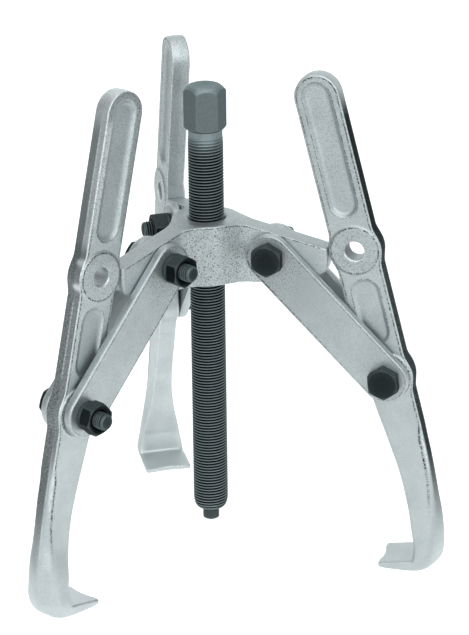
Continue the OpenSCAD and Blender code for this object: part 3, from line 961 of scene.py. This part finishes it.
# hook grip face and inner crease, for painted highlights
grip = ease(0.5, 0.8, N[:, 2]) * ease(-8, -12, V[:, 0]) * (V[:, 2] < -108)
crease = ease(0.3, 0.55, N[:, 2]) * ease(0.3, 0.55, -N[:, 0]) * (V[:, 2] < -104)
values = {
    "line_d": np.where(on_boss, np.abs(14.1 - boss), np.minimum(np.abs(-back - 1.35), groove + 0.12)),
    "lined": face * ease(-94, -64, V[:, 2]) * np.where(V[:, 0] > -3, 1.0, 0.15 + 0.7 * ease(0, 25, V[:, 2])),
    "corner_d": np.minimum(np.where(on_boss, np.where(lower_rim > 0, np.abs(hole - 6.0), 9.0), np.hypot(back, half - ay)), np.where(outer > 0.3, np.abs(V[:, 1] - seam - 0.5) + 0.2, 9.0)),
    # rubbed edges on the lower leg and a painted highlight on the hole's lower rim
    "rub_and_highlight": np.maximum((boss > 7) * ease(-95, -60, V[:, 2]), 0.9 * lower_rim),
    "trim_band_and_shade": trimmed * (0.55 + 0.45 * ease(-85, -45, V[:, 2])),
    "mottled": 0.2 + 0.65 * (1 - ease(72, 98, V[:, 2])) * (0.5 + 0.5 * ease(-60, 0, V[:, 2])),
    "pits": 0.06 + 0.14 * ease(-40, 10, V[:, 2]) + 0.4 * on_boss + 0.2 * ease(95, 120, V[:, 2]) + 0.12 * ease(-50, -90, V[:, 2]) * ease(-0.2, 0.5, N[:, 0]),
    "grained": np.maximum(np.interp(V[:, 2], [-100, -60, 20, 95, 120], [0.32, 0.38, 0.6, 0.85, 0.95]), 0.95 * on_boss) * (1 - 0.5 * grip),
    # painted shade on head-side faces, more towards the hook, and on the nut side's pocket floors
    "shade_and_dark_tone": (1 - bore) * np.where(V[:, 1] > 0, 0.8 * sunk_floor, (0.4 + 0.4 * ease(-60, -95, V[:, 2])) * ease(0.3, 0.8, -N[:, 1])),
    "along": V[:, 2] * MM,
    "across": 0.3 * V[:, 1] * MM,
}
trim_band_and_shade, mottled, shade_and_dark_tone = values["trim_band_and_shade"], values["mottled"], values["shade_and_dark_tone"]
shaded = bore * ease(5, -5, V[:, 0] - 0.6 * (V[:, 2] - LEG_L))
whole = outer * (0.55 + 0.45 * ease(-85, -45, V[:, 2]))
for i in (1, 2, 3):
    # darkness of the strip per leg: leg 1's near-black edge is partly painted shade
    values["band_darkness"] = np.full(len(V), (1.0, 0.4, 0.25)[i - 1])
    values["mottled"] = mottled
    # painted shade inside leg 1's upper bolt hole
    values["shade_and_dark_tone"] = shade_and_dark_tone + (0.5 * bore + 1.3 * shaded if i == 1 else 0.0)
    # leg 1: the whole outer edge strip and part of the hole darkened, partly painted shade
    values["trim_band_and_shade"] = np.maximum(whole, 0.3 * shaded) if i == 1 else trim_band_and_shade * (1 - 0.5 * barrel)
    # painted highlights on the grip face, the crease and the hole's lower rim
    values["painted_highlight"] = np.maximum((0.08, 0.4, 0.3)[i - 1] * grip, (0.2, 0.6, 0.2)[i - 1] * crease)
    values["painted_highlight"] = np.maximum(values["painted_highlight"], 0.85 * rim_line)
    if i == 3:
        low = ease(102, 92, V[:, 2])
        paddle = ease(104, 112, V[:, 2]) * (V[:, 1] > 0)
        land = face * paddle * ease(0.3, 1.0, pocket)
        sunny = ease(-1, 3, V[:, 0]) * ease(174, 162, V[:, 2])
        ridge = outer * (1 - ease(0.3, 0.75, np.abs(V[:, 1] - seam - 0.4))) * (0.65 + 0.35 * np.sin(1.7 * V[:, 2]))
        vein_and_glint = np.maximum(vein_and_glint, ridge * ease(106, 120, V[:, 2]))
        crown = edge_face * ease(158, 182, V[:, 2]) * (pocket > 0.5)
        # painted shade on the paddle's land, except its lit part
        values["shade_and_dark_tone"] = shade_and_dark_tone + 1.35 * land * (1 - sunny)
        values["pits"] = values["pits"] + 0.4 * land
        values["lined"] = values["lined"] * (1 - 0.7 * paddle)
        # the strip darker towards the lower leg
        values["band_darkness"] = 0.03 + 0.31 * ease(150, 98, V[:, 2])
        values["mottled"] = mottled * (1 - 0.35 * low)
        values["trim_band_and_shade"] = np.maximum(trim_band_and_shade, 0.85 * whole * low * ease(-45, -15, V[:, 2])) * (1 - 0.85 * np.maximum(fleck_and_glint, vein_and_glint)) * (0.85 + 0.15 * low)
        # painted highlights on the paddle's crown and lit land and the lower wall of the bolt hole; the edge patches
        # and seam line are part rubbed metal, part painted reflection
        values["painted_highlight"] = np.max([values["painted_highlight"], 0.95 * fleck_and_glint, 0.8 * vein_and_glint, 0.45 * land * sunny, 0.5 * crown, 0.3 * bore * ease(2, -4, V[:, 2] - LEG_L)], axis=0)
    piece(f"leg_{i}_forging", at_leg(V, i), Q, f"leg_{i}", f"leg_{i}", "leg_forging", leg_look, values)

# spindle and pin
p = spindle()
piece("spindle_rod", p.v, p.f, "spindle", "spindle", "spindle_steel", spindle_look, {"wear_and_sheen": p.w}, 38)
p = thrust_pin()
piece("thrust_pin_point", p.v, p.f, "thrust_pin", "thrust_pin", "pin_steel", pin_look, {"wear_and_sheen": p.w}, 40)

# fasteners
YOKE_HEAD, YOKE_NUT = (30, 12, 48), (8, 20, 28)
LEG_HEAD, LEG_NUT = (25, 40, 5), (50, 33, 10)
for i in (1, 2, 3):
    for leg, stack, heads, nuts in ((False, STACK_YOKE, YOKE_HEAD, YOKE_NUT), (True, STACK_LEG, LEG_HEAD, LEG_NUT)):
        word, body = ("leg", f"link_{i}") if leg else ("yoke", "yoke")
        p = bolt(stack, heads[i - 1])
        piece(f"{word}_bolt_{i}_hex", at_bolt(np.array(p.v), i, leg), p.f, body, f"{word}_bolt_{i}", "fastener_black", black_look, {"wear_and_sheen": p.w}, 34)
        p = nut(stack, nuts[i - 1])
        piece(f"{word}_nut_{i}_hex", at_bolt(np.array(p.v), i, leg), p.f, body, f"{word}_nut_{i}", "fastener_black", black_look, {"wear_and_sheen": p.w}, 34)
        v, f, w = washer(stack)
        piece(f"{word}_washer_{i}_split", at_bolt(np.array(v), i, leg), f, body, f"{word}_washer_{i}", "fastener_black", black_look, {"wear_and_sheen": w}, 50)


# ---------------------------------------------------------------- floor, light, camera
# low enough for the hooks and the spindle at the ends of their travel
ground = cad_lo.z - 0.042
me = bpy.data.meshes.new("floor")
size, corner, rows = 3.2, 0.9, []
for s in range(13):
    a = math.radians(90 * s / 12)
    rows.append((size + corner * math.sin(a), ground + corner * (1 - math.cos(a))))
path = [(-size * 1.6, ground)] + rows + [(size + corner, ground + 3.5)]
turned = math.radians(14.95)
verts = []
for y, z in path:
    for x in (-6.0, 6.0):
        verts.append((x * math.cos(turned) - y * math.sin(turned), x * math.sin(turned) + y * math.cos(turned), z))
me.from_pydata(verts, [], [(2 * i, 2 * i + 1, 2 * i + 3, 2 * i + 2) for i in range(len(path) - 1)])
me.polygons.foreach_set("use_smooth", np.ones(len(me.polygons), bool))
pale = Look("floor_paper")
pale.link(pale.mix(pale.noise(3, 2), (0.93, 0.935, 0.935, 1), (0.95, 0.955, 0.955, 1)), pale.b.inputs["Base Color"])
pale.b.inputs["Roughness"].default_value = 0.9
pale.b.inputs["Specular IOR Level"].default_value = 0.1
def along(direction):
    n = pale.t.nodes.new("ShaderNodeVectorMath")
    n.operation = "DOT_PRODUCT"
    n.inputs[1].default_value = direction
    pale.t.links.new(pale.where, n.inputs[0])
    return n.outputs["Value"]


# lit from below in the middle, like a translucent table
sideways = pale.span(pale.math("ABSOLUTE", pale.math("SUBTRACT", along((0.966, 0.258, 0)), 0.1)), 0.3, 0.6, 1.0, 0.0)
depth_in = pale.span(along((-0.258, 0.966, 0)), -0.5, -0.1)
depth_out = pale.span(along((-0.258, 0.966, 0)), 1.5, 2.6, 0.42, 0.1)
pale.link(pale.math("MULTIPLY", pale.math("MULTIPLY", sideways, depth_in), depth_out), pale.b.inputs["Emission Strength"])
pale.b.inputs["Emission Color"].default_value = (1, 1, 1, 1)
me.materials.append(pale.m)
floor = bpy.data.objects.new("floor", me)
bpy.context.scene.collection.objects.link(floor)


def lamp(name, where, aim, width, height, power, fan):
    data = bpy.data.lights.new(name, "AREA")
    data.shape = "RECTANGLE"
    data.size, data.size_y = width, height
    data.energy = power
    data.spread = math.radians(fan)
    o = bpy.data.objects.new(name, data)
    o.location = where
    o.rotation_euler = (Vector(aim) - Vector(where)).to_track_quat("-Z", "Y").to_euler()
    bpy.context.scene.collection.objects.link(o)


def placed(right, back, z):
    """A place from the camera's right, the depth behind the object, and the height."""
    return (0.966 * right - 0.258 * back, 0.258 * right + 0.966 * back, z)


lamp("overhead_softbox", placed(0, 0.1, 1.6), placed(0, 0.1, 0), 1.5, 1.5, 6.5, 180)
world = bpy.data.worlds.new("studio")
world.use_nodes = True
tree = world.node_tree
sky = tree.nodes["Background"]
sky.inputs[0].default_value = (0.955, 1.0, 1.005, 1)
around = tree.nodes.new("ShaderNodeTexCoord").outputs["Generated"]


def glow(direction, amount, under):
    """A soft panel of light in one direction, added to the ones before."""
    dot = tree.nodes.new("ShaderNodeVectorMath")
    dot.operation = "DOT_PRODUCT"
    dot.inputs[1].default_value = Vector(direction).normalized()
    tree.links.new(around, dot.inputs[0])
    ramp = tree.nodes.new("ShaderNodeMapRange")
    ramp.interpolation_type = "SMOOTHSTEP"
    for key, number in (("From Min", 0.3), ("From Max", 0.9), ("To Min", 0.15 if under is None else 0.0), ("To Max", amount)):
        ramp.inputs[key].default_value = number
    tree.links.new(dot.outputs["Value"], ramp.inputs["Value"])
    if under is None:
        return ramp.outputs[0]
    total = tree.nodes.new("ShaderNodeMath")
    total.operation = "ADD"
    tree.links.new(ramp.outputs[0], total.inputs[0])
    tree.links.new(under, total.inputs[1])
    return total.outputs[0]


panel = glow(placed(0, -1, 0.3), 1.65, None)
panel = glow(placed(-1, 0.1, 0.15), 0.1, panel)
panel = glow(placed(0, 1, 0.35), 0.3, panel)
tree.links.new(glow(placed(1, 0.1, 0.15), 0.15, panel), sky.inputs[1])
scene = bpy.context.scene
scene.world = world
scene.view_settings.view_transform = "Standard"

# The camera, from the photograph's angle
E, D, F, ROLL = 0.363382306, 1694.378, 2824.2525, -0.012287477
TX, TZ, TURN = 15.8047348, -45.4848088, math.pi / 2 - 1.3099469966
forward = np.array([0, math.cos(E), -math.sin(E)])
right, up = np.array([1.0, 0, 0]), np.array([0, math.sin(E), math.cos(E)])
right, up = math.cos(ROLL) * right + math.sin(ROLL) * up, -math.sin(ROLL) * right + math.cos(ROLL) * up
place = np.array([TX, 0, TZ]) - D * forward
M = np.stack([right, up, -forward, place])
M = turn_z(M, math.degrees(TURN))
M[3, 2] += PIVOT_Z
cam_data = bpy.data.cameras.new("camera")
cam_data.sensor_width = 36.0
cam_data.lens = F * 36.0 / 635.0
cam_data.clip_end = 100
cam = bpy.data.objects.new("camera", cam_data)
cam.matrix_world = Matrix(
    [[M[0, r], M[1, r], M[2, r], M[3, r] * MM] for r in range(3)] + [[0, 0, 0, 1]]
)
scene.collection.objects.link(cam)
scene.camera = cam

bpy.context.view_layer.update()
